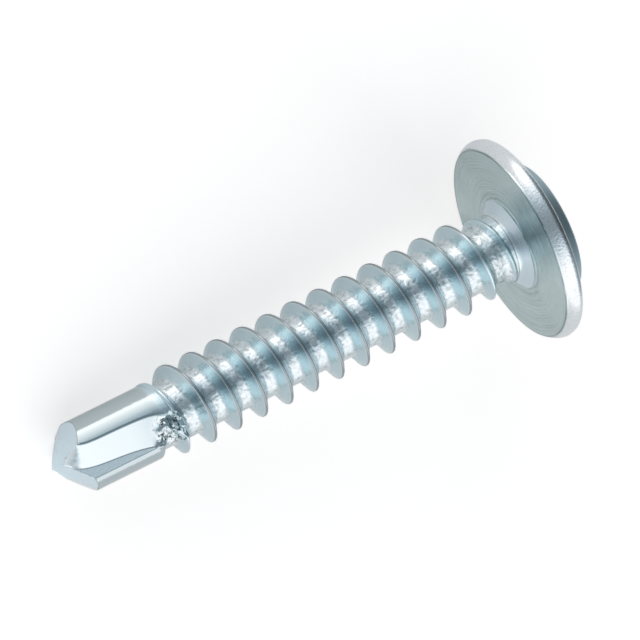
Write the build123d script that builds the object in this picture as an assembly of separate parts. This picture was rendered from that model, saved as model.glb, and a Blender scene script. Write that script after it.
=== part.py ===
from build123d import *
from math import atan, ceil, cos, degrees, pi, radians, sin, tan
import os

# A self drilling screw: a wafer head with a cross recess, a coarse tapping
# thread and a forged two-flute drill point, all one piece of steel.
# It is built upright, the point at the origin and the head above it, and is
# laid down on its rim and its point at the end. All sizes are millimetres.

# Lengths along the axis, measured from the tip of the point
screw_length = 25.0          # tip to bearing face
drill_body_length = 4.95     # tip to the end of the plain drill body
body_step_length = 0.3       # cone from the drill body down to the core
thread_start_gap = 0.15      # from there to where the thread begins to rise
lead_in_length = 1.8         # the crest reaches full height over this
run_out_length = 2.15        # the crest sinks back over this
thread_end_gap = 0.45        # from the end of the thread to the bearing face

# Thread
thread_diameter = 4.22
core_diameter = 2.9
thread_pitch = 1.4
thread_angle = 60.0          # between the two flanks
crest_width = 0.1
thread_end_rise = 0.15       # both ends of the ridge stand this far out of the core
thread_start_angle = -32.5   # where the crest begins to rise, from the flute's middle
thread_foot_length = 0.5     # of low ridge before that, inside the drill body
spans_per_turn = 5           # faces of each flank in a turn
steps_per_span = 2           # points set on each spiral edge of such a face

# Drill point
drill_diameter = 3.48
flute_half_opening = 32.5    # from the flute's middle to the cutting corner
rake_direction = 63.5        # the way the rake wall runs, seen along the axis
heel_facet_angle = 49.1      # steep facet, from the axis
heel_facet_direction = 95.4
lip_facet_angle = 52.3       # flatter facet behind the cutting lip
lip_facet_direction = 65.8
resting_turn = -1.9          # about the axis, sets both edges of a flute on the ground

# Flute sections from the tip up: height, width of the rake wall, and the way that
# the flute's broad floor faces. The very first and last only steer the curve.
flute_tip_sections = [
    (-0.45, 1.5, -95.0),
    (-0.1, 1.25, -88.0),
    (0.15, 1.1, -78.0),
    (0.45, 0.895, -28.0),
    (0.8, 0.715, 10.0),
    (1.15, 0.61, 15.0),
    (1.8, 0.495, 14.0),
]
# The same, with heights from the end of the drill body
flute_end_sections = [
    (-1.65, 0.35, 11.0),
    (-0.45, 0.11, 7.0),
    (0.4, -0.25, 3.5),
    (1.2, -0.8, 0.0),
]
flute_steps = 3              # sections made for each one listed
flute_reach = 5.0            # how far a section runs out past the body

# Neck under the head
neck_taper_length = 1.33     # slight flare, from the core up
neck_taper_rise = 0.25       # out from the core
neck_flare_length = 0.49     # steep flare that meets the bearing face
neck_flare_rise = 0.57       # out from the taper's end

# Head, with heights above the bearing face
flange_diameter = 9.96
widest_height = 0.42
bearing_edge_inset = 0.28    # from the widest to the edge of the bearing face
rim_top_inset = 0.11         # from the widest to the rim's upper corner
rim_top_height = 0.86
dome_foot_diameter = 7.7
dome_foot_height = 0.74
dome_side_inset = 0.63       # from the dome's foot to its shoulder
head_height = 2.4
crown_rise = 0.54            # from the dome's shoulder to its middle
rim_chamfer = 0.08
dome_foot_chamfer = 0.2
dome_shoulder_chamfer = 0.16

# Cross recess
recess_span = 4.0            # across the wings, at the dome's top
recess_floor_span = 1.5
wing_width = 1.1
wing_floor_width = 0.72
recess_core_diameter = 2.3
recess_core_floor_diameter = 1.05
recess_depth = 1.75          # of the wings
recess_cone_depth = 0.25     # of the pilot cone below them
recess_clearance = 0.3       # the cutters start this far above the dome

overlap = 0.1                # parts that join run this far into one another


core_radius = core_diameter / 2
crest_radius = thread_diameter / 2
body_radius = drill_diameter / 2
flange_radius = flange_diameter / 2
thread_end_radius = core_radius + thread_end_rise
buried_radius = core_radius - overlap
thread_start_height = drill_body_length + thread_start_gap
thread_foot_height = thread_start_height - thread_foot_length
thread_end_height = screw_length - thread_end_gap


def around(radius, angle, height):
    """The point at this radius, angle in degrees and height."""
    return Vector(radius * cos(radians(angle)), radius * sin(radians(angle)), height)


def crest_radius_at(height):
    """The thread swells out of its low start, and sinks back under the head."""
    risen = min(1, max(0, (height - thread_start_height) / lead_in_length))
    left = min(1, max(0, (thread_end_height - height) / run_out_length))
    share = min(sin(risen * pi / 2), left)
    return thread_end_radius + (crest_radius - thread_end_radius) * share


def thread_corners(turn):
    """The ridge's four corners at a turn counted up from its foot."""
    height = thread_foot_height + thread_pitch * turn
    angle = thread_start_angle + 360 * (height - thread_start_height) / thread_pitch
    crest = crest_radius_at(height)
    half_crest = crest_width / 2
    half_foot = half_crest + (crest - buried_radius) * tan(radians(thread_angle / 2))
    return (
        around(buried_radius, angle, height - half_foot),
        around(crest, angle, height - half_crest),
        around(crest, angle, height + half_crest),
        around(buried_radius, angle, height + half_foot),
    )


def thread_edges(first, last):
    """Four spiral edges that follow the corners from one turn to another."""
    step = (last - first) / steps_per_span
    nudge = step / 100
    rows = [thread_corners(first + step * k) for k in range(steps_per_span + 1)]
    starts = zip(thread_corners(first - nudge), thread_corners(first + nudge))
    ends = zip(thread_corners(last - nudge), thread_corners(last + nudge))
    edges = []
    for points, start, end in zip(zip(*rows), starts, ends):
        tangents = [start[1] - start[0], end[1] - end[0]]
        edges.append(Edge.make_spline(list(points), tangents=[t.normalized() for t in tangents]))
    return edges


def thread_ridge():
    """The whole ridge as one closed solid, its root buried in the core."""
    turns = (thread_end_height - thread_foot_height) / thread_pitch
    spans = ceil(turns * spans_per_turn)
    faces = []
    for k in range(spans):
        edges = thread_edges(turns * k / spans, turns * (k + 1) / spans)
        for edge, neighbour in zip(edges, edges[1:] + edges[:1]):
            faces.append(Face.make_surface_from_curves(edge, neighbour))
    for turn in (0, turns):
        faces.append(Face(Wire.make_polygon(thread_corners(turn), close=True)))
    return Solid(Shell(faces))


def threaded_shank():
    """The core, from inside the drill body to inside the neck, and its thread."""
    height = screw_length + overlap - thread_foot_height
    core = Pos(0, 0, thread_foot_height + height / 2) * Cylinder(core_radius, height)
    return core.fuse(thread_ridge())


def facet(angle, direction):
    """The plane of one facet of the point, which keeps what is above it."""
    lean = 1 / tan(radians(angle))
    normal = around(-lean, direction, 1)
    return Plane(origin=(0, 0, 0), z_dir=normal)


def flute_section(height, rake_width, floor_direction):
    """A V cut across the body: the rake wall on one side, the floor on the other."""
    bottom = around(body_radius, flute_half_opening, height)
    bottom -= around(rake_width, rake_direction, 0)
    along_floor = floor_direction - 90
    middle = (rake_direction + along_floor) / 2
    outer = [around(flute_reach, way, 0) for way in (rake_direction, middle, along_floor)]
    return Wire.make_polygon([bottom] + [bottom + step for step in outer], close=True)


def between(before, start, end, after, share):
    """The value this far from start to end, on a smooth curve through all four."""
    leave = (end - before) / 2
    arrive = (after - start) / 2
    rise = end - start
    square = 3 * rise - 2 * leave - arrive
    cube = leave + arrive - 2 * rise
    return start + share * (leave + share * (square + share * cube))


def drill_point():
    """Plain body with two flutes, and two pairs of facets that meet at the tip."""
    body = Pos(0, 0, drill_body_length / 2) * Cylinder(body_radius, drill_body_length)
    step_middle = drill_body_length + body_step_length / 2
    body += Pos(0, 0, step_middle) * Cone(body_radius, buried_radius, body_step_length)
    for half in (0, 180):
        body = split(body, facet(heel_facet_angle, heel_facet_direction + half), keep=Keep.TOP)
        body = split(body, facet(lip_facet_angle, lip_facet_direction + half), keep=Keep.TOP)
    return body


def flute():
    """What is pressed out on one side, running out at the end of the body."""
    rows = list(flute_tip_sections)
    for height, rake_width, floor_direction in flute_end_sections:
        rows.append((drill_body_length + height, rake_width, floor_direction))
    sections = []
    for k in range(len(rows) - 3):
        columns = list(zip(*rows[k:k + 4]))
        for step in range(flute_steps):
            row = [between(*column, step / flute_steps) for column in columns]
            sections.append(flute_section(*row))
    return Solid.make_loft(sections, ruled=True)


def bevelled(profile, corner, length):
    """The profile with the corner nearest this point cut off."""
    return chamfer(profile.vertices().sort_by_distance(corner)[0], length)


def head_blank():
    """Neck, flange and dome, turned in one profile drawn as radius and height."""
    neck_radius = core_radius + neck_taper_rise
    shoulder_radius = dome_foot_diameter / 2 - dome_side_inset
    foot = (0, -neck_taper_length)
    neck_bottom = (buried_radius, -neck_taper_length)
    neck_top = (neck_radius, -neck_flare_length)
    flare_edge = (neck_radius + neck_flare_rise, 0)
    bearing_edge = (flange_radius - bearing_edge_inset, 0)
    widest = (flange_radius, widest_height)
    rim_top = (flange_radius - rim_top_inset, rim_top_height)
    dome_foot = (dome_foot_diameter / 2, dome_foot_height)
    shoulder = (shoulder_radius, head_height - crown_rise)
    crown = (0, head_height)
    crown_radius = (shoulder_radius**2 + crown_rise**2) / (2 * crown_rise)
    outline = [
        Polyline(foot, neck_bottom, neck_top, flare_edge, bearing_edge),
        ThreePointArc(bearing_edge, widest, rim_top),
        Polyline(rim_top, dome_foot, shoulder),
        RadiusArc(shoulder, crown, -crown_radius),
        Line(crown, foot),
    ]
    profile = make_face(outline)
    profile = bevelled(profile, rim_top, rim_chamfer)
    profile = bevelled(profile, dome_foot, dome_foot_chamfer)
    profile = bevelled(profile, shoulder, dome_shoulder_chamfer)
    return Pos(0, 0, screw_length) * revolve(Plane.XZ * profile, Axis.Z)


def widened(floor_size, top_size):
    """The size that a tapering recess reaches where its cutters start."""
    return floor_size + (top_size - floor_size) * (recess_depth + recess_clearance) / recess_depth


def recess():
    """Two crossed tapering wings inside a cone, a tapering core and a pilot cone."""
    height = recess_depth + recess_clearance
    span = widened(recess_floor_span, recess_span)
    wing = loft([
        Rectangle(span, wing_floor_width),
        Pos(0, 0, height) * Rectangle(span, widened(wing_floor_width, wing_width)),
    ])
    middle = Pos(0, 0, height / 2)
    tool = wing + Rot(0, 0, 90) * wing
    tool &= middle * Cone(recess_floor_span / 2, span / 2, height)
    core_floor_radius = recess_core_floor_diameter / 2
    core_top_radius = widened(recess_core_floor_diameter, recess_core_diameter) / 2
    tool += middle * Cone(core_floor_radius, core_top_radius, height)
    tool += Pos(0, 0, -recess_cone_depth / 2) * Cone(0, core_floor_radius, recess_cone_depth)
    return Pos(0, 0, screw_length + head_height - recess_depth) * tool


def lying(upright):
    """Tip down the screw until the rim and the flute's two edges touch the ground."""
    corner_drop = body_radius * cos(radians(flute_half_opening + resting_turn))
    corner_turn = radians(lip_facet_direction - flute_half_opening)
    corner_height = body_radius * cos(corner_turn) / tan(radians(lip_facet_angle))
    rise = flange_radius - corner_drop
    run = screw_length + widest_height - corner_height
    turned = Rot(0, 0, resting_turn) * upright
    laid = Rot(0, 90 - degrees(atan(rise / run)), 0) * turned
    box = laid.bounding_box()
    centre = box.center()
    return Pos(-centre.X, -centre.Y, -box.min.Z) * laid


def screw():
    """The whole screw, lying down."""
    whole = threaded_shank() + drill_point() + head_blank()
    whole = whole - flute() - Rot(0, 0, 180) * flute() - recess()
    return lying(whole)


os.makedirs("parts", exist_ok=True)
part = screw()
part.label = "screw"
export_step(part, "parts/screw.step")
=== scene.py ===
import math

import bmesh
import bpy
from mathutils import Matrix, Vector, noise


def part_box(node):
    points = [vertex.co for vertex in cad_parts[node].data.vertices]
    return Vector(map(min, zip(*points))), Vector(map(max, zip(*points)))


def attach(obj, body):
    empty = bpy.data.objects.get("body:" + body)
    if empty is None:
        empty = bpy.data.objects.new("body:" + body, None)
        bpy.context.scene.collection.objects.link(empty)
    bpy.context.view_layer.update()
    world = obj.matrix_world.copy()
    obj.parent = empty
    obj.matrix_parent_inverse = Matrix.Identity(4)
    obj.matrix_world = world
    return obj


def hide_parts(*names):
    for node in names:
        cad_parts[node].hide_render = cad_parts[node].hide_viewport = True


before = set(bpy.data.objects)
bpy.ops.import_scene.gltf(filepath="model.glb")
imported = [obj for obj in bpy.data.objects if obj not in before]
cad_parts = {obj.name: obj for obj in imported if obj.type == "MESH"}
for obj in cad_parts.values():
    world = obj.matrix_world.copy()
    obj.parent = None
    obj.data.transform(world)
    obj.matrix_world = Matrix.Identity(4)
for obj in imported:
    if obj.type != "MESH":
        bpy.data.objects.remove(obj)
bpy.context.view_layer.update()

print("frame loaded")

# The screw is made upright in millimetres, its tip at the origin and its head above,
# and is laid down in metres at the end. One ring of points runs through all of it.
metre = 0.001
columns = 120
columnStep = 360 / columns

lying = {
    "turn": -1.9,              # degrees about its own axis
    "lean": 81.84343,          # degrees from upright
    "tipHeight": 1.32308,      # mm above the floor
}

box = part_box("screw")
turned = Matrix.Rotation(math.radians(lying["turn"]), 4, "Z")
leaned = Matrix.Rotation(math.radians(lying["lean"]), 4, "Y") @ turned
tipSpot = Vector((box[0].x, 0, lying["tipHeight"] * metre))
laidDown = Matrix.Translation(tipSpot) @ leaned @ Matrix.Scale(metre, 4)


# Nodes

class Wire:
    # a socket that can be used in sums
    def __init__(self, graph, socket):
        self.graph = graph
        self.socket = socket

    def sum(self, operation, *others, clamp=False):
        values = dict(enumerate([self, *others]))
        return self.graph.node("ShaderNodeMath", {"operation": operation, "use_clamp": clamp}, values)

    def __add__(self, other):
        return self.sum("ADD", other)

    def __radd__(self, other):
        return self.sum("ADD", other)

    def __sub__(self, other):
        return self.sum("SUBTRACT", other)

    def __rsub__(self, other):
        return self.graph.wire(other).sum("SUBTRACT", self)

    def __mul__(self, other):
        return self.sum("MULTIPLY", other)

    def __rmul__(self, other):
        return self.sum("MULTIPLY", other)

    def __truediv__(self, other):
        return self.sum("DIVIDE", other)

    def __rtruediv__(self, other):
        return self.graph.wire(other).sum("DIVIDE", self)


class Graph:
    # adds nodes to one tree and joins them up
    def __init__(self, tree):
        self.tree = tree
        tree.nodes.clear()

    def wire(self, number):
        return self.node("ShaderNodeValue", values={}, constant=number)

    def node(self, kind, settings=None, values=None, output=0, stops=None, constant=None):
        made = self.tree.nodes.new(kind)
        for name, setting in (settings or {}).items():
            setattr(made, name, setting)
        if stops:
            ramp = made.color_ramp
            ramp.interpolation = "EASE"
            while len(ramp.elements) < len(stops):
                ramp.elements.new(0.5)
            for element, (place, colour) in zip(ramp.elements, stops):
                element.position = place
                element.color = (*colour, 1) if isinstance(colour, tuple) else (colour, colour, colour, 1)
        if constant is not None:
            made.outputs[0].default_value = constant
        for key, value in (values or {}).items():
            if isinstance(value, Wire):
                self.tree.links.new(value.socket, made.inputs[key])
            else:
                made.inputs[key].default_value = value
        return Wire(self, made.outputs[output]) if made.outputs else None

    def other(self, wire, name):
        # another output of the node that a wire comes from
        return Wire(self, wire.socket.node.outputs[name])


# Facets of the tip, each one's angle from the axis and the way that it rises

tipFacets = {
    "heelAngle": 49.1,
    "heelDirection": 95.4,
    "lipAngle": 52.3,
    "lipDirection": 65.8,
}


def facetSlope(name, half):
    slope = 1 / math.tan(math.radians(tipFacets[name + "Angle"]))
    angle = math.radians(tipFacets[name + "Direction"] + 180 * half)
    return Vector((slope * math.cos(angle), slope * math.sin(angle), 0))


# Zinc plating, with painted shade and painted highlights in its colour

finish = {
    "zincColour": (0.69, 0.775, 0.81),
    "warmZincColour": (0.72, 0.785, 0.8),
    "dullAndPitShadeColour": (0.36, 0.4, 0.41),
    # painted highlight colour for the raised specks
    "brightColour": (0.86, 0.9, 0.91),
    "bearingShadeColour": (0.57, 0.69, 0.7),
    "flareColour": (0.64, 0.745, 0.8),
    "flankShadeColour": (0.6, 0.73, 0.77),
    "rimSheenColour": (0.78, 0.82, 0.84),
    "scoopHighlightColour": (0.9, 0.96, 0.97),   # painted highlight, lighter where each flute begins
    "scoopRoughness": 0.5,
    "landShadeColour": (0.52, 0.6, 0.62),
    "crestShadeColour": (0.33, 0.38, 0.4),
    "domeShadeColour": (0.4, 0.53, 0.58),
    "domeRoughness": 0.42,
    "facetSheenColour": (0.76, 0.88, 0.94),
    "creaseShadeColour": (0.12, 0.15, 0.165),  # painted shade in the burr's folds, round the neck and along the rim's lower edge
    "burrPlace": (-1.5, -0.43, 5.5),
    "burrReach": 1.15,
    "rimRoughness": 0.2,
    "roughness": 0.22,
    "coreRoughness": 0.28,     # between the threads and on the rim
    "pointRoughness": 0.13,    # the drill point is pressed smooth
    "dappleSize": 0.2,         # mm
    "dappleDepth": 0.032,
    "dappleDarkness": 0.6,
    "grainSize": 0.11,
    "grainDepth": 0.012,
    "ringSpacing": 0.34,       # fine rings on the bearing face
    "ringDepth": 0.09,
}


def zincPlating():
    material = bpy.data.materials.new("zincPlating")
    material.use_nodes = True
    graph = Graph(material.node_tree)
    # the screw's own upright millimetres
    back = laidDown.inverted()
    spot = graph.node("ShaderNodeMapping", values={
        "Vector": graph.node("ShaderNodeTexCoord", output="Object"),
        "Location": back.translation,
        "Rotation": back.to_euler(),
        "Scale": (1 / metre,) * 3,
    })
    parts = graph.node("ShaderNodeSeparateXYZ", values={0: spot})
    x, y, height = parts, graph.other(parts, "Y"), graph.other(parts, "Z")
    radius = (x * x + y * y).sum("SQRT")

    def grainy(size, detail, **more):
        return graph.node("ShaderNodeTexNoise", values={
            "Vector": spot, "Scale": 1 / size, "Detail": detail, **more})

    def between(value, low, high):
        return graph.node("ShaderNodeMapRange", {"interpolation_type": "SMOOTHSTEP"}, {
            "Value": value, "From Min": low, "From Max": high})

    onPoint = 1 - between(height, 5.0, 5.6)
    onRim = between(radius, 4.4, 4.75) * between(height, 24.5, 25.0)
    onCore = (1 - onPoint) * (1 - between(radius, 1.55, 1.85)) * (1 - between(height, 24.2, 24.8))
    onBearing = between(height, 24.9, 24.98) * (1 - between(height, 25.02, 25.1))
    onScoop = onPoint * (1 - between(height, 0.7, 1.1)) * (1 - between(radius, 1.0, 1.35))
    dapple = grainy(finish["dappleSize"], 1.5)
    grain = grainy(finish["grainSize"], 3.0)

    def tinted(factor, first, second):
        return graph.node("ShaderNodeMix", {"data_type": "RGBA"}, {"Factor": factor, "A": first, "B": second}, output=2)

    colour = tinted(grainy(1.6, 2.0), (*finish["zincColour"], 1), (*finish["warmZincColour"], 1))
    # painted highlight: the flute's floor near the tip made lighter
    colour = tinted(onScoop, colour, (*finish["scoopHighlightColour"], 1))
    leans = [facetSlope(name, 0) for name in ("lip", "heel")]
    lipHeight, heelHeight = [(x * lean.x + y * lean.y).sum("ABSOLUTE") for lean in leans]
    onFacet = 1 - between(height - lipHeight.sum("MAXIMUM", heelHeight), 0.02, 0.04)
    # painted sheen: the tip's facets lighter and bluer, for the light they reflect
    colour = tinted(onFacet, colour, (*finish["facetSheenColour"], 1))
    # painted sheen: the rim band lighter than the rest of the zinc
    colour = tinted(onRim, colour, (*finish["rimSheenColour"], 1))
    # darker specks where the dapple is low: partly a dull finish, partly painted shade in the pits
    dullAndPitShade = between(dapple, 0.46, 0.3) * onCore + between(grain, 0.44, 0.3) * onRim * 0.4
    colour = tinted(dullAndPitShade * finish["dappleDarkness"], colour, (*finish["dullAndPitShadeColour"], 1))
    # painted highlights: lighter specks where the dapple and the rim's grain are high
    bright = between(dapple, 0.52, 0.66) * onCore + between(grain, 0.5, 0.66) * onRim
    colour = tinted(bright * 0.6, colour, (*finish["brightColour"], 1))
    # painted shade: the drill body's land darker than the rest of the point
    onLand = onPoint * between(radius, 1.69, 1.72)
    colour = tinted(onLand, colour, (*finish["landShadeColour"], 1))
    # painted shade: the dome of the head darker
    onDome = between(height, 25.95, 26.05)
    colour = tinted(onDome, colour, (*finish["domeShadeColour"], 1))
    # painted shade: the thread's flanks darker and bluer, for the dark reflections between the threads
    onFlank = between(radius, 1.5, 1.62) * (1 - between(radius, 2.0, 2.08))
    onFlank = onFlank * between(height, 5.2, 5.4) * (1 - between(height, 24.3, 24.5))
    colour = tinted(onFlank, colour, (*finish["flankShadeColour"], 1))
    # painted shade: a dark line along the thread's crest, for its dark reflection
    onCrest = between(radius, 2.06, 2.095) * (1 - between(height, 24.3, 24.5))
    colour = tinted(onCrest, colour, (*finish["crestShadeColour"], 1))
    onFlare = between(height, 24.5, 24.56) * (1 - between(height, 25.1, 25.2)) * (1 - between(radius, 2.3, 2.36))
    colour = tinted(onFlare, colour, (*finish["flareColour"], 1))
    # painted shade: the bearing face under the head darker
    colour = tinted(onBearing, colour, (*finish["bearingShadeColour"], 1))
    fromBurr = graph.node("ShaderNodeVectorMath", {"operation": "DISTANCE"}, {0: spot, 1: finish["burrPlace"]}, output="Value")
    onBurr = 1 - between(fromBurr, finish["burrReach"] * 0.6, finish["burrReach"])
    onNeck = between(height, 24.39, 24.43) * (1 - between(height, 24.44, 24.48)) * grainy(0.6, 2.0)
    onRimEdge = between(radius, 4.65, 4.68) * (1 - between(radius, 4.72, 4.75)) * (1 - between(height, 25.05, 25.1))
    # painted shade in creases: the burr's folds, a line round the neck and one along the rim's lower edge
    creaseShade = (onBurr * between(grainy(0.17, 1.5), 0.56, 0.62)).sum("MAXIMUM", onNeck)
    creaseShade = creaseShade.sum("MAXIMUM", onRimEdge * between(height, 24.9, 24.95) * grainy(1.1, 2.0))
    colour = tinted(creaseShade, colour, (*finish["creaseShadeColour"], 1))
    rings = graph.node("ShaderNodeTexNoise", {"noise_dimensions": "1D"}, {
        "W": radius / finish["ringSpacing"] + grainy(2.0, 1.0), "Detail": 2.0, "Roughness": 0.6})
    relief = dapple * onCore * finish["dappleDepth"] + grain * (onRim * 0.8 + 0.25) * finish["grainDepth"]
    relief = relief + rings * onBearing * finish["ringDepth"]
    bump = graph.node("ShaderNodeBump", values={"Strength": 1.0, "Distance": metre, "Height": relief})
    roughness = finish["roughness"] - onPoint * (finish["roughness"] - finish["pointRoughness"])
    roughness = roughness + onScoop * (finish["scoopRoughness"] - finish["pointRoughness"])
    roughness = roughness + onDome * (finish["domeRoughness"] - finish["roughness"])
    roughness = roughness + onCore * (finish["coreRoughness"] - finish["roughness"])
    roughness = roughness + onRim * (finish["rimRoughness"] - finish["roughness"])
    roughness = roughness + (grainy(0.3, 3.0) - 0.5) * 0.08
    shader = graph.node(
        "ShaderNodeBsdfPrincipled",
        values={"Base Color": colour, "Metallic": 1.0, "Roughness": roughness, "Normal": bump},
    )
    graph.node("ShaderNodeOutputMaterial", values={"Surface": shader})
    return material


zinc = zincPlating()
print("zinc plating made")


# Threaded shank

shank = {
    "bodyEnd": 4.95,
    "ringHeight": 5.05,        # where the drill point joins it
    "coneEnd": 5.25,
    "bearingHeight": 25.0,
    "bodyRadius": 1.74,
    "coreRadius": 1.45,
    "coneEndRadius": 1.35,
    "crestRadius": 2.11,
    "crestWidth": 0.1,
    "crestRounding": 0.03,
    "rootRounding": 0.05,
    "threadAngle": 60.0,
    "pitch": 1.4,
    "endRadius": 1.6,
    "threadStart": 5.1,
    "threadEnd": 24.55,
    "leadIn": 1.8,
    "runOut": 2.15,
    "startAngle": -32.5,
    "taperStart": 23.67,
    "taperEnd": 24.51,
    "taperRadius": 1.7,
    "flareRadius": 2.27,
    # the body runs on to the first ridge between these angles
    "fullFrom": 20.0,
    "fullTo": 176.0,
    "fullShort": 0.16,         # mm short of the crest
    # the flute's floor in it: distance from the axis and facing at the body's end, and their rise
    "runOutDistance": 1.583,
    "runOutRise": 0.175,
    "runOutFacing": 185.2,
    "runOutTurn": -4.25,
    "rowsPerTurn": 24,
    "crowding": 0.7,           # how much closer the rows lie at the crest
}


def threadTree(sizes):
    tree = bpy.data.node_groups.new("threadedShank", "GeometryNodeTree")
    tree.interface.new_socket("Geometry", in_out="OUTPUT", socket_type="NodeSocketGeometry")
    sockets = {}
    for name, size in sizes.items():
        kind = "NodeSocketInt" if isinstance(size, int) else "NodeSocketFloat"
        sockets[name] = tree.interface.new_socket(name, in_out="INPUT", socket_type=kind).identifier
    sockets["material"] = tree.interface.new_socket(
        "material", in_out="INPUT", socket_type="NodeSocketMaterial").identifier
    graph = Graph(tree)
    given = tree.nodes.new("NodeGroupInput")
    size = {name: Wire(graph, given.outputs[name]) for name in [*sizes, "material"]}

    # whole turns that cover the length at any angle
    crestZero = size["threadStart"] - size["startAngle"] / 360 * size["pitch"]
    firstTurn = ((size["ringHeight"] - crestZero) / size["pitch"]).sum("FLOOR") - 1
    lastTurn = ((size["bearingHeight"] - crestZero) / size["pitch"]).sum("CEIL")
    turns = lastTurn - firstTurn
    grid = graph.node("GeometryNodeMeshGrid", values={
        "Size X": 1.0, "Size Y": 1.0,
        "Vertices X": size["columns"] + 1,
        "Vertices Y": turns * size["rowsPerTurn"] + 1.1,
    })
    spot = graph.node("ShaderNodeSeparateXYZ", values={0: graph.node("GeometryNodeInputPosition")})
    aroundShare = spot + 0.5
    alongShare = graph.other(spot, "Y") + 0.5

    # rows follow the thread, crowded together at its crest, and stop at both ends
    turn = firstTurn + alongShare * turns
    turn360 = 2 * math.pi
    crowded = turn - size["crowding"] / turn360 * (turn * turn360).sum("SINE")
    height = crestZero + size["pitch"] * (crowded + aroundShare)
    height = height.sum("MAXIMUM", size["ringHeight"]).sum("MINIMUM", size["bearingHeight"])
    # a row that comes too close to an end joins it
    toStart = size["ringHeight"] - height
    toEnd = size["bearingHeight"] - height
    height = height + toStart * toStart.sum("GREATER_THAN", -0.02) + toEnd * toEnd.sum("LESS_THAN", 0.03)

    # distance along the axis from the nearest crest
    phase = (height - crestZero) / size["pitch"] - aroundShare
    offset = size["pitch"] * phase.sum("WRAP", 0.5, -0.5)
    crestHeight = height - offset
    risen = ((crestHeight - size["threadStart"]) / size["leadIn"]).sum("ADD", 0, clamp=True)
    left = ((size["threadEnd"] - crestHeight) / size["runOut"]).sum("ADD", 0, clamp=True)
    share = (risen * (math.pi / 2)).sum("SINE").sum("MINIMUM", left)
    crest = size["endRadius"] + (size["crestRadius"] - size["endRadius"]) * share
    beyond = (offset.sum("ABSOLUTE") - size["crestWidth"] / 2).sum("SMOOTH_MAX", 0, size["crestRounding"])
    slope = 1 / (size["threadAngle"] / 2).sum("RADIANS").sum("TANGENT")
    thread = crest - beyond * slope

    # core, the cone above the drill body, and the neck that widens under the head
    degrees = aroundShare * 360
    full = ((degrees - size["fullFrom"]) / 40).sum("ADD", 0, clamp=True)
    full = full * ((size["fullTo"] - degrees) / 10).sum("ADD", 0, clamp=True)
    firstCrest = crestZero + size["pitch"] * aroundShare - size["fullShort"]
    coneStart = size["bodyEnd"] + full * (firstCrest - size["bodyEnd"]).sum("MAXIMUM", 0)
    coneSlope = (size["bodyRadius"] - size["coneEndRadius"]) / (size["coneEnd"] - size["bodyEnd"])
    cone = size["bodyRadius"] - (height - coneStart).sum("MAXIMUM", 0) * coneSlope
    taperSlope = (size["taperRadius"] - size["coneEndRadius"]) / (size["taperEnd"] - size["taperStart"])
    taper = size["coneEndRadius"] + (height - size["taperStart"]) * taperSlope
    flareSlope = (size["flareRadius"] - size["taperRadius"]) / (size["bearingHeight"] - size["taperEnd"])
    flare = size["taperRadius"] + (height - size["taperEnd"]) * flareSlope
    base = size["coreRadius"].sum("MAXIMUM", cone)
    base = base.sum("SMOOTH_MAX", taper, size["rootRounding"])
    base = base.sum("SMOOTH_MAX", flare, size["rootRounding"])
    radius = base.sum("SMOOTH_MAX", thread, size["rootRounding"])
    pastEnd = height - size["bodyEnd"]
    aside = (degrees - size["runOutFacing"] - pastEnd * size["runOutTurn"]).sum("RADIANS").sum("COSINE")
    floor = (size["runOutDistance"] + pastEnd * size["runOutRise"]) / aside.sum("MAXIMUM", 0.5)
    beyondRunOut = (height - 5.7).sum("MAXIMUM", 0) * 4
    radius = radius.sum("MINIMUM", floor + beyondRunOut)

    angle = aroundShare * turn360
    target = graph.node("ShaderNodeCombineXYZ", values={
        0: radius * angle.sum("COSINE"), 1: radius * angle.sum("SINE"), 2: height,
    })
    moved = graph.node("GeometryNodeSetPosition", values={"Geometry": grid, "Position": target})
    joined = graph.node("GeometryNodeMergeByDistance", values={"Geometry": moved, "Distance": 0.002})
    smooth = graph.node("GeometryNodeSetShadeSmooth", values={"Geometry": joined, "Shade Smooth": True})
    real = graph.node("GeometryNodeRealizeInstances", values={"Geometry": smooth})
    done = graph.node("GeometryNodeSetMaterial", values={"Geometry": real, "Material": size["material"]})
    graph.node("NodeGroupOutput", values={"Geometry": done})
    return tree, sockets


def threadedShank():
    sizes = {**shank, "columns": columns}
    tree, sockets = threadTree(sizes)
    holder = bpy.data.objects.new("shankHolder", bpy.data.meshes.new("shankHolder"))
    bpy.context.scene.collection.objects.link(holder)
    modifier = holder.modifiers.new("threadedShank", "NODES")
    modifier.node_group = tree
    for name, size in sizes.items():
        modifier[sockets[name]] = size
    modifier[sockets["material"]] = zinc
    evaluated = holder.evaluated_get(bpy.context.evaluated_depsgraph_get())
    mesh = bpy.data.meshes.new_from_object(evaluated)
    holder.modifiers.clear()
    bpy.data.objects.remove(holder)
    return mesh


shape = bmesh.new()
shape.from_mesh(threadedShank())


def openRing(height):
    # the open edge of the mesh at this height, sorted from the angle 0 round
    ring = {v for e in shape.edges if e.is_boundary for v in e.verts if abs(v.co.z - height) < 0.001}
    return sorted(ring, key=lambda v: math.degrees(math.atan2(v.co.y, v.co.x)) % 360 if abs(v.co.y) > 1e-4 or v.co.x < 0 else 0)


pointRing = openRing(shank["ringHeight"])
headRing = openRing(shank["bearingHeight"])
print("threaded shank made:", len(shape.faces), "faces, rings of", len(pointRing), "and", len(headRing))


def bridge(lower, upper):
    # faces between two rings, the lower one nearer the tip along the surface
    for k in range(columns):
        following = (k + 1) % columns
        corners = [lower[k], lower[following], upper[following], upper[k]]
        shape.faces.new(list(dict.fromkeys(corners)))


def around(radius, angle, height):
    turned = math.radians(angle)
    return Vector((radius * math.cos(turned), radius * math.sin(turned), height))


def mixed(start, end, share):
    return start + (end - start) * share


# Drill point

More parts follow.
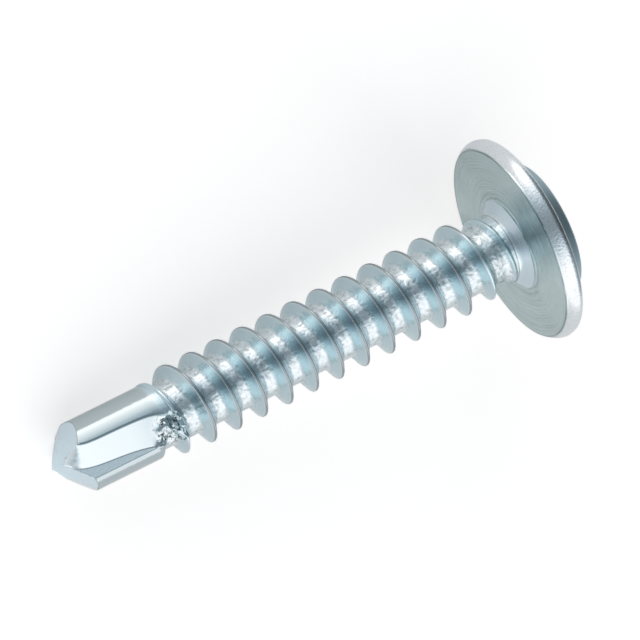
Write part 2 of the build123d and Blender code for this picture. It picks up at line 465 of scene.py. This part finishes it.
drill = {
    "bodyRadius": 1.74,
    "bodyEnd": 4.95,
    "cornerAngle": 32.5,
    "rakeDirection": 63.5,
    # height, width of the rake wall, way that the floor faces
    "fluteSections": [
        (-0.45, 1.5, -95.0), (-0.1, 1.25, -88.0), (0.15, 1.1, -78.0), (0.45, 0.895, -28.0),
        (0.8, 0.715, 10.0), (1.15, 0.61, 15.0), (1.8, 0.495, 14.0), (3.3, 0.35, 11.0), (4.5, 0.11, 7.0),
        (5.35, -0.25, 3.5), (6.15, -0.8, 0.0),
    ],
    "rows": 56,
    "rowCrowding": 1.7,        # above 1 for rows closer together at the tip
    "landSteps": 43,
    "lipLandSteps": 13,        # of those, beside the lip facet
    "floorSteps": 12,
    "heelFloorSteps": 5,       # of those, beside the heel facet
    "wallSteps": 5,
    "shortestWall": 0.1,
    "edgeBevel": 0.03,
    "heelEdgeBevel": 0.075,
}


def throughFour(before, start, end, after, share):
    leave = (end - before) / 2
    arrive = (after - start) / 2
    rise = end - start
    square = 3 * rise - 2 * leave - arrive
    cube = leave + arrive - 2 * rise
    return start + share * (leave + share * (square + share * cube))


def fluteCurve():
    rows = drill["fluteSections"]
    curve = []
    for k in range(len(rows) - 3):
        for step in range(16):
            curve.append([throughFour(*four, step / 16) for four in zip(*rows[k:k + 4])])
    curve.append(list(rows[-2]))
    return curve


flutePath = fluteCurve()


def fluteAt(height):
    # bottom of the flute's V and the way its floor faces
    k = 1
    while k < len(flutePath) - 1 and flutePath[k][0] < height:
        k += 1
    low, high = flutePath[k - 1], flutePath[k]
    share = (height - low[0]) / (high[0] - low[0])
    width, facing = mixed(low[1], high[1], share), mixed(low[2], high[2], share)
    bottom = around(drill["bodyRadius"], drill["cornerAngle"], 0) - around(width, drill["rakeDirection"], 0)
    return bottom, facing


def fluteFeatures(height):
    # floor's far edge, bottom, corner: as points of the flute at angle 0
    bottom, facing = fluteAt(height)
    away = around(1, facing, 0)
    distance = bottom.dot(away)
    radius = drill["bodyRadius"]
    reach = math.degrees(math.acos(min(1, distance / radius)))
    far = around(radius, facing - reach, 0)
    near = around(radius, facing + reach, 0)
    if bottom.length > radius:
        bottom = near
    along = (far - bottom).normalized()
    corner = around(radius, drill["cornerAngle"], 0)
    if (bottom - corner).length < drill["shortestWall"]:
        bottom = bottom + along * drill["shortestWall"]
    return far, bottom, corner


def outlinePoint(part, share, height):
    far, bottom, corner = fluteFeatures(height)
    if part == "floor":
        spot = mixed(far, bottom, share)
    elif part == "wall":
        spot = mixed(bottom, corner, share)
        if bottom.length > drill["bodyRadius"] - 0.001:
            spot = spot.normalized() * drill["bodyRadius"]
    else:
        farAngle = math.degrees(math.atan2(far.y, far.x)) + 180
        if part == "lipLand":
            angle = mixed(drill["cornerAngle"], ridgeAngle(0), share)
        else:
            angle = mixed(ridgeAngle(0), farAngle, share)
        spot = around(drill["bodyRadius"], angle, 0)
    return Vector((spot.x, spot.y, height))


def ridgeAngle(which):
    # where the lip facet meets its own heel (0), and where the heel meets the other lip (1)
    lip, heel = facetSlope("lip", which), facetSlope("heel", 0)
    gap = lip - heel
    angle = math.degrees(math.atan2(-gap.x, gap.y))
    return angle % 180


def facetHeight(spot):
    slopes = [facetSlope(name, half) for name in ("lip", "heel") for half in (0, 1)]
    return max(spot.x * s.x + spot.y * s.y for s in slopes)


def columnStart(part, share):
    # lowest point of a column, on a facet
    low, high = 0.0, 3.0
    for _ in range(40):
        middle = (low + high) / 2
        if middle > facetHeight(outlinePoint(part, share, middle)):
            high = middle
        else:
            low = middle
    return outlinePoint(part, share, high)


def floorRidgeShare():
    # the floor's share at which the ridge between heel and lip reaches it
    target = ridgeAngle(1) - 180
    low, high = 0.0, 1.0
    for _ in range(30):
        middle = (low + high) / 2
        spot = columnStart("floor", middle)
        if math.degrees(math.atan2(spot.y, spot.x)) < target:
            low = middle
        else:
            high = middle
    return low


def drillColumns():
    # part and share of each column of one half, from the cutting corner round
    ridge = floorRidgeShare()
    lipLand, land = drill["lipLandSteps"], drill["landSteps"] - drill["lipLandSteps"]
    heelFloor, lipFloor = drill["heelFloorSteps"], drill["floorSteps"] - drill["heelFloorSteps"]
    half = [("lipLand", k / lipLand) for k in range(lipLand)]
    half += [("land", k / land) for k in range(land)]
    half += [("floor", ridge * k / heelFloor) for k in range(heelFloor)]
    half += [("floor", mixed(ridge, 1, k / lipFloor)) for k in range(lipFloor)]
    half += [("wall", k / drill["wallSteps"]) for k in range(drill["wallSteps"])]
    return half


def turnedHalf(spot):
    return Vector((-spot.x, -spot.y, spot.z))


def drillPoint():
    half = drillColumns()
    firstColumn = round(drill["cornerAngle"] / columnStep)
    rings = [[None] * columns for _ in range(drill["rows"] + 1)]
    for k, (part, share) in enumerate(half):
        start = columnStart(part, share)
        for row in range(drill["rows"] + 1):
            height = mixed(start.z, drill["bodyEnd"], (row / drill["rows"]) ** drill["rowCrowding"])
            spot = outlinePoint(part, share, height)
            if part in ("floor", "wall"):
                spot = turnedHalf(spot)
            for turned in (0, 1):
                column = (firstColumn + k + turned * columns // 2) % columns
                rings[row][column] = shape.verts.new(turnedHalf(spot) if turned else spot)
    for lower, upper in zip(rings, rings[1:]):
        bridge(lower, upper)
    bridge(rings[-1], pointRing)
    tip = shape.verts.new((0, 0, 0))
    facets = []
    lipEnd = firstColumn + drill["lipLandSteps"]
    heelEnd = firstColumn + drill["landSteps"] + drill["heelFloorSteps"]
    stops = [heelEnd - columns // 2, lipEnd, heelEnd, lipEnd + columns // 2, heelEnd + columns // 2]
    for first, last in zip(stops, stops[1:]):
        edge = [rings[0][k % columns] for k in range(last, first - 1, -1)]
        facets.append(shape.faces.new([tip, *edge]))
    return facets


facets = drillPoint()
print("drill point made")


# Head

head = {
    "flangeRadius": 4.98,
    "bandBulge": (5.145, 0.47),    # radius and height that the band's curve leans to
    "bearingEdgeInset": 0.28,
    "rimTopInset": 0.11,
    "rimTopHeight": 0.86,
    "rimRounding": 0.14,
    "domeFootRadius": 3.85,
    "domeFootHeight": 0.74,
    "domeFootRounding": 0.35,
    "domeSideInset": 0.63,
    "domeRounding": 0.3,
    "height": 2.4,
    "crownRise": 0.54,
}


def arcRow(centre, start, end, steps):
    # points on an arc, both ends among them
    first, last = start - centre, end - centre
    turn = first.angle_signed(last)
    spots = []
    for k in range(steps + 1):
        angle = -turn * k / steps
        spots.append(centre + Matrix.Rotation(angle, 2) @ first)
    return spots


def roundedCorner(before, corner, after, radius, steps):
    # points of a rounding that replaces a corner
    back, on = (before - corner).normalized(), (after - corner).normalized()
    half = back.angle(on) / 2
    reach = radius / math.tan(half)
    centre = corner + (back + on).normalized() * (radius / math.sin(half))
    return arcRow(centre, corner + back * reach, corner + on * reach, steps)


def straight(start, end, steps):
    return [start.lerp(end, k / steps) for k in range(1, steps)]


def headProfile():
    # radius and height above the bearing face, from the bearing face to the dome's shoulder
    radius = head["flangeRadius"]
    bearingEdge = Vector((radius - head["bearingEdgeInset"], 0))
    rimTop = Vector((radius - head["rimTopInset"], head["rimTopHeight"]))
    domeFoot = Vector((head["domeFootRadius"], head["domeFootHeight"]))
    shoulder = Vector((head["domeFootRadius"] - head["domeSideInset"], head["height"] - head["crownRise"]))
    neckEdge = Vector((shank["flareRadius"], 0))
    bulge = Vector(head["bandBulge"])
    rim = [bearingEdge.lerp(bulge, t).lerp(bulge.lerp(rimTop, t), t) for t in (k / 16 for k in range(17))]
    lowRim = roundedCorner(neckEdge, bearingEdge, rim[1], 0.03, 2)
    topRim = roundedCorner(rim[-2], rimTop, domeFoot, head["rimRounding"], 6)
    foot = roundedCorner(rimTop, domeFoot, shoulder, head["domeFootRounding"], 6)
    crownCentre, crownRadius = crownCircle()
    beyond = Vector((shoulder.x - 0.3, crownHeight(shoulder.x - 0.3)))
    top = roundedCorner(domeFoot, shoulder, beyond, head["domeRounding"], 8)
    spots = [neckEdge + Vector((0.02, 0))] + straight(neckEdge, lowRim[0], 24) + [lowRim[0] - Vector((0.02, 0))] + lowRim
    spots += [s for s in rim[1:-1] if s.y > lowRim[-1].y + 0.01 and s.y < topRim[0].y - 0.01]
    spots += topRim + straight(topRim[-1], foot[0], 8) + foot + straight(foot[-1], top[0], 8) + top
    return spots


def crownCircle():
    shoulder = head["domeFootRadius"] - head["domeSideInset"]
    radius = (shoulder ** 2 + head["crownRise"] ** 2) / (2 * head["crownRise"])
    return head["height"] - radius, radius


def crownHeight(radius):
    centre, big = crownCircle()
    return centre + math.sqrt(big * big - radius * radius)


recess = {
    "span": 4.0,
    "floorSpan": 1.5,
    "wingWidth": 1.1,
    "wingFloorWidth": 0.72,
    "coreRadius": 1.15,
    "coreFloorRadius": 0.525,
    "depth": 1.75,
    "coneDepth": 0.25,
    "wallRows": 12,
    "crownRows": 9,
    "endSteps": 4,             # columns of one eighth: wing end, wing side, core
    "sideSteps": 6,
    "coreSteps": 5,
}


def recessSpot(column, rise):
    # a point of the recess's outline, rise from 0 at its floor to 1 at its top
    quarter, place = divmod(column + columns // 8, columns // 4)
    place -= columns // 8
    side, place = (1 if place >= 0 else -1), abs(place)
    halfWidth = mixed(recess["wingFloorWidth"], recess["wingWidth"], rise) / 2
    coneRadius = mixed(recess["floorSpan"], recess["span"], rise) / 2
    coreRadius = mixed(recess["coreFloorRadius"], recess["coreRadius"], rise)
    endAngle = math.degrees(math.asin(halfWidth / coneRadius))
    coreAngle = math.degrees(math.asin(min(1, halfWidth / coreRadius)))
    coreAngle = min(coreAngle, 44.0)
    junction = halfWidth / math.sin(math.radians(coreAngle))
    if place <= recess["endSteps"]:
        angle = endAngle * place / recess["endSteps"]
        radius = coneRadius
    elif place <= recess["endSteps"] + recess["sideSteps"]:
        share = (place - recess["endSteps"]) / recess["sideSteps"]
        along = mixed(coneRadius * math.cos(math.radians(endAngle)), junction * math.cos(math.radians(coreAngle)), share)
        angle = math.degrees(math.atan2(halfWidth, along))
        radius = math.hypot(halfWidth, along)
    else:
        share = (place - recess["endSteps"] - recess["sideSteps"]) / recess["coreSteps"]
        angle = mixed(coreAngle, 45.0, share)
        radius = max(coreRadius, junction)
    return radius, quarter * 90 + side * angle


def recessTop(column):
    # rise at which the wall meets the crown
    low, high = 0.5, 1.3
    for _ in range(40):
        middle = (low + high) / 2
        radius, _angle = recessSpot(column, middle)
        if head["height"] - recess["depth"] * (1 - middle) > crownHeight(radius):
            high = middle
        else:
            low = middle
    return low


def waferHead():
    bottom = shank["bearingHeight"]
    rings = [headRing]
    for spot in headProfile():
        rings.append([shape.verts.new(around(spot.x, k * columnStep, bottom + spot.y)) for k in range(columns)])
    edgeRadius = math.hypot(rings[-1][0].co.x, rings[-1][0].co.y)
    tops = [recessTop(k) for k in range(columns)]
    for row in range(1, recess["crownRows"] + 1):
        share = row / recess["crownRows"]
        ring = []
        for k in range(columns):
            topRadius, topAngle = recessSpot(k, tops[k])
            radius = mixed(edgeRadius, topRadius, share)
            angle = mixed(k * columnStep, topAngle, share)
            ring.append(shape.verts.new(around(radius, angle, bottom + crownHeight(radius))))
        rings.append(ring)
    floorHeight = bottom + head["height"] - recess["depth"]
    for row in range(1, recess["wallRows"] + 1):
        ring = []
        for k in range(columns):
            rise = mixed(tops[k], 0, row / recess["wallRows"])
            radius, angle = recessSpot(k, rise)
            ring.append(shape.verts.new(around(radius, angle, floorHeight + rise * recess["depth"])))
        rings.append(ring)
    ring = []
    for k in range(columns):
        _radius, angle = recessSpot(k, 0)
        ring.append(shape.verts.new(around(recess["coreFloorRadius"] * 0.98, angle, floorHeight)))
    rings.append(ring)
    for share in (0.66, 0.33):
        ring = [shape.verts.new(around(
            recess["coreFloorRadius"] * share, k * columnStep,
            floorHeight - recess["coneDepth"] * (1 - share))) for k in range(columns)]
        rings.append(ring)
    for lower, upper in zip(rings, rings[1:]):
        bridge(lower, upper)
    deepest = shape.verts.new((0, 0, floorHeight - recess["coneDepth"]))
    bridge(rings[-1], [deepest] * columns)


waferHead()
print("head made")


# Burr that the flute's press left at the end of one flute

burr = {
    "angle": 196.0,
    "height": 5.45,
    "halfAngle": 30.0,
    "halfHeight": 1.0,
    "grain": 0.34,             # mm
    "rise": 0.34,
    "shift": 0.16,
    "limit": 1.78,             # mm from the axis
    "seed": 4.7,
}


def raiseBurr():
    for vert in shape.verts:
        spot = vert.co.copy()
        radius = math.hypot(spot.x, spot.y)
        if radius < 1.2 or abs(spot.z - burr["height"]) > burr["halfHeight"]:
            continue
        angle = math.degrees(math.atan2(spot.y, spot.x)) % 360
        # wider as it climbs
        far = math.hypot((angle - burr["angle"]) / burr["halfAngle"], (spot.z - burr["height"]) / burr["halfHeight"])
        if far >= 1:
            continue
        strength = min(1, (1 - far) * 2.2)
        place = spot / burr["grain"] + Vector((burr["seed"],) * 3)
        lump = noise.noise(place) * 1.3 + noise.noise(place * 2.3) * 0.7
        push = noise.noise_vector(place * 1.4 + Vector((9, 2, 5)))
        outward = Vector((spot.x, spot.y, 0)) / radius
        vert.co += (outward * burr["rise"] * lump + push * burr["shift"]) * strength
        # flattened where it would stand out past the body
        reach = math.hypot(vert.co.x, vert.co.y)
        if reach > max(radius, burr["limit"]):
            tight = max(radius, burr["limit"]) + 0.2 * (reach - max(radius, burr["limit"]))
            vert.co.x *= tight / reach
            vert.co.y *= tight / reach


# Edges and shading

bmesh.ops.remove_doubles(shape, verts=shape.verts, dist=0.0005)
shape.normal_update()
sharpHeight = drill["bodyEnd"] + 0.02
creases = [
    e for e in shape.edges
    if len(e.link_faces) == 2 and abs(e.calc_face_angle()) > math.radians(14)
    and max(v.co.z for v in e.verts) < sharpHeight
]


def onHeelEdge(edge):
    # the long edge between a flute's floor and the land behind it
    low, high = sorted((v.co for v in edge.verts), key=lambda spot: spot.z)
    angle = math.degrees(math.atan2(low.y, low.x)) % 180
    return low.z > 1.0 and high.z - low.z > 0.6 * edge.calc_length() and angle > 145 and math.hypot(low.x, low.y) > 1.7


bevelled = set()
for wide in (True, False):
    chosen = [e for e in creases if e.is_valid and onHeelEdge(e) == wide]
    made = bmesh.ops.bevel(
        shape, geom=chosen, offset=drill["heelEdgeBevel"] if wide else drill["edgeBevel"],
        offset_type="OFFSET", segments=3 if wide else 2, profile=0.5, affect="EDGES", clamp_overlap=False,
    )
    bevelled.update(made["faces"])
raiseBurr()
for face in shape.faces:
    face.smooth = True
for face in bevelled:
    if face.is_valid:
        for edge in face.edges:
            if any(f not in bevelled for f in edge.link_faces):
                edge.smooth = False
bmesh.ops.triangulate(shape, faces=[f for f in shape.faces if len(f.verts) > 4])


# Laying down, on the rim and the flutes' edges

shape.transform(laidDown)

mesh = bpy.data.meshes.new("selfDrillingScrew")
shape.to_mesh(mesh)
openEdges = sum(1 for e in shape.edges if not e.is_manifold)
print("screw:", sum(len(f.verts) - 2 for f in shape.faces), "triangles,", openEdges, "open edges")
shape.free()
mesh.materials.append(zinc)
screw = bpy.data.objects.new("selfDrillingScrew", mesh)
bpy.context.scene.collection.objects.link(screw)
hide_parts("screw")
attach(screw, "root")
print("screw laid down")


# Floor

floorLook = {
    "size": 1.2,
    "colour": (0.93, 0.9, 0.88),
    "lift": 0.5,               # added only for what the camera sees
    "liftInMetal": 0.2,        # and for what the metal shows of it
}


def paleFloor():
    material = bpy.data.materials.new("paleFloor")
    material.use_nodes = True
    graph = Graph(material.node_tree)
    paths = graph.node("ShaderNodeLightPath", output="Is Camera Ray")
    lift = paths * floorLook["lift"] + graph.other(paths, "Is Glossy Ray") * floorLook["liftInMetal"]
    lift = lift + graph.other(paths, "Is Transmission Ray") * floorLook["liftInMetal"]
    plain = graph.node("ShaderNodeBsdfDiffuse", values={"Color": (*floorLook["colour"], 1)})
    glow = graph.node("ShaderNodeEmission", values={
        "Color": (*floorLook["colour"], 1), "Strength": lift})
    both = graph.node("ShaderNodeAddShader", values={0: plain, 1: glow})
    graph.node("ShaderNodeOutputMaterial", values={"Surface": both})
    half = floorLook["size"] / 2
    mesh = bpy.data.meshes.new("paleFloor")
    mesh.from_pydata([(-half, -half, 0), (half, -half, 0), (half, half, 0), (-half, half, 0)], [], [(0, 1, 2, 3)])
    mesh.materials.append(material)
    floor = bpy.data.objects.new("paleFloor", mesh)
    bpy.context.scene.collection.objects.link(floor)


paleFloor()
print("floor laid")


# Camera

view = {
    "tipward": 20.98,          # degrees that the camera leans to the tip's side
    "aside": 14.4,             # and away from straight above the axis
    "roll": 26.4,              # rise of the axis across the picture
    "frameWidth": 29.4,        # mm across the picture
    "picture": 640,
    "tipColumn": 54.6,
    "tipRow": 469.5,
    "distance": 0.12,
}

rise = math.radians(90 - lying["lean"])
axis = Vector((math.cos(rise), 0, math.sin(rise)))
above = Vector((-math.sin(rise), 0, math.cos(rise)))
side = Vector((0, 1, 0))
aside = math.radians(view["aside"])
outward = above * math.cos(aside) + side * math.sin(aside)
across = side * math.cos(aside) - above * math.sin(aside)
tipward = math.radians(view["tipward"])
toCamera = outward * math.cos(tipward) - axis * math.sin(tipward)
axisSeen = (axis - toCamera * axis.dot(toCamera)).normalized()
roll = math.radians(view["roll"])
right = axisSeen * math.cos(roll) - across * math.sin(roll)
up = axisSeen * math.sin(roll) + across * math.cos(roll)


def makeCamera():
    data = bpy.data.cameras.new("camera")
    data.type = "ORTHO"
    data.ortho_scale = view["frameWidth"] * metre
    data.clip_start = 0.001
    data.clip_end = 10
    camera = bpy.data.objects.new("camera", data)
    bpy.context.scene.collection.objects.link(camera)
    perPixel = view["frameWidth"] * metre / view["picture"]
    middle = view["picture"] / 2
    centre = tipSpot - right * ((view["tipColumn"] - middle) * perPixel) - up * ((middle - view["tipRow"]) * perPixel)
    place = centre + toCamera * view["distance"]
    turn = Matrix((right, up, toCamera)).transposed().to_4x4()
    camera.matrix_world = Matrix.Translation(place) @ turn
    bpy.context.scene.camera = camera


makeCamera()
print("camera placed")


# Light: a soft sky, dim in a band along the screw and bright along both its sides

light = {
    "strength": 1.3,
    # how far a direction leans to the side below the screw in the picture, brightness
    "across": [
        (-1.0, 1.5), (-0.94, 1.5), (-0.88, 1.35), (-0.8, 1.1), (-0.7, 0.92), (-0.52, 0.62), (-0.35, 0.36),
        (-0.15, 0.26), (0.1, 0.2), (0.25, 0.3), (0.38, 0.5), (0.52, 0.76), (0.7, 0.96), (0.88, 1.02), (1.0, 0.92),
    ],
    "headEndLight": 0.3,      # dimmer toward the head's end
    "dimColour": (0.82, 0.98, 1.09),
    "brightColour": (1.05, 1.0, 0.985),
}


def makeLight():
    world = bpy.data.worlds.new("studio")
    bpy.context.scene.world = world
    world.use_nodes = True
    graph = Graph(world.node_tree)
    way = graph.node("ShaderNodeTexCoord", output="Generated")

    def along(direction):
        return graph.node("ShaderNodeVectorMath", {"operation": "DOT_PRODUCT"}, {0: way, 1: direction}, output="Value")

    sides = graph.node("ShaderNodeValToRGB", values={"Fac": along(-across) / 2 + 0.5}, stops=[
        (lean / 2 + 0.5, level / 2) for lean, level in light["across"]])
    headEnd = graph.node("ShaderNodeMapRange", {"interpolation_type": "SMOOTHSTEP"}, {
        "Value": along(axis), "From Min": 0.42, "From Max": 0.72, "To Min": 1.0, "To Max": light["headEndLight"]})
    level = graph.node("ShaderNodeRGBToBW", values={0: sides}) * 2 * headEnd
    tint = graph.node("ShaderNodeMix", {"data_type": "RGBA"}, {
        "Factor": graph.node("ShaderNodeMapRange", values={"Value": level, "From Min": 0.4, "From Max": 1.1}),
        "A": (*light["dimColour"], 1), "B": (*light["brightColour"], 1)}, output=2)
    glow = graph.node("ShaderNodeBackground", values={"Color": tint, "Strength": level * light["strength"]})
    white = graph.node("ShaderNodeBackground", values={"Color": (1, 1, 1, 1), "Strength": 1.0})
    seen = graph.node("ShaderNodeLightPath", output="Is Camera Ray")
    surface = graph.node("ShaderNodeMixShader", values={0: seen, 1: glow, 2: white})
    graph.node("ShaderNodeOutputWorld", values={"Surface": surface})


makeLight()
bpy.context.scene.view_settings.view_transform = "Standard"
print("light made")
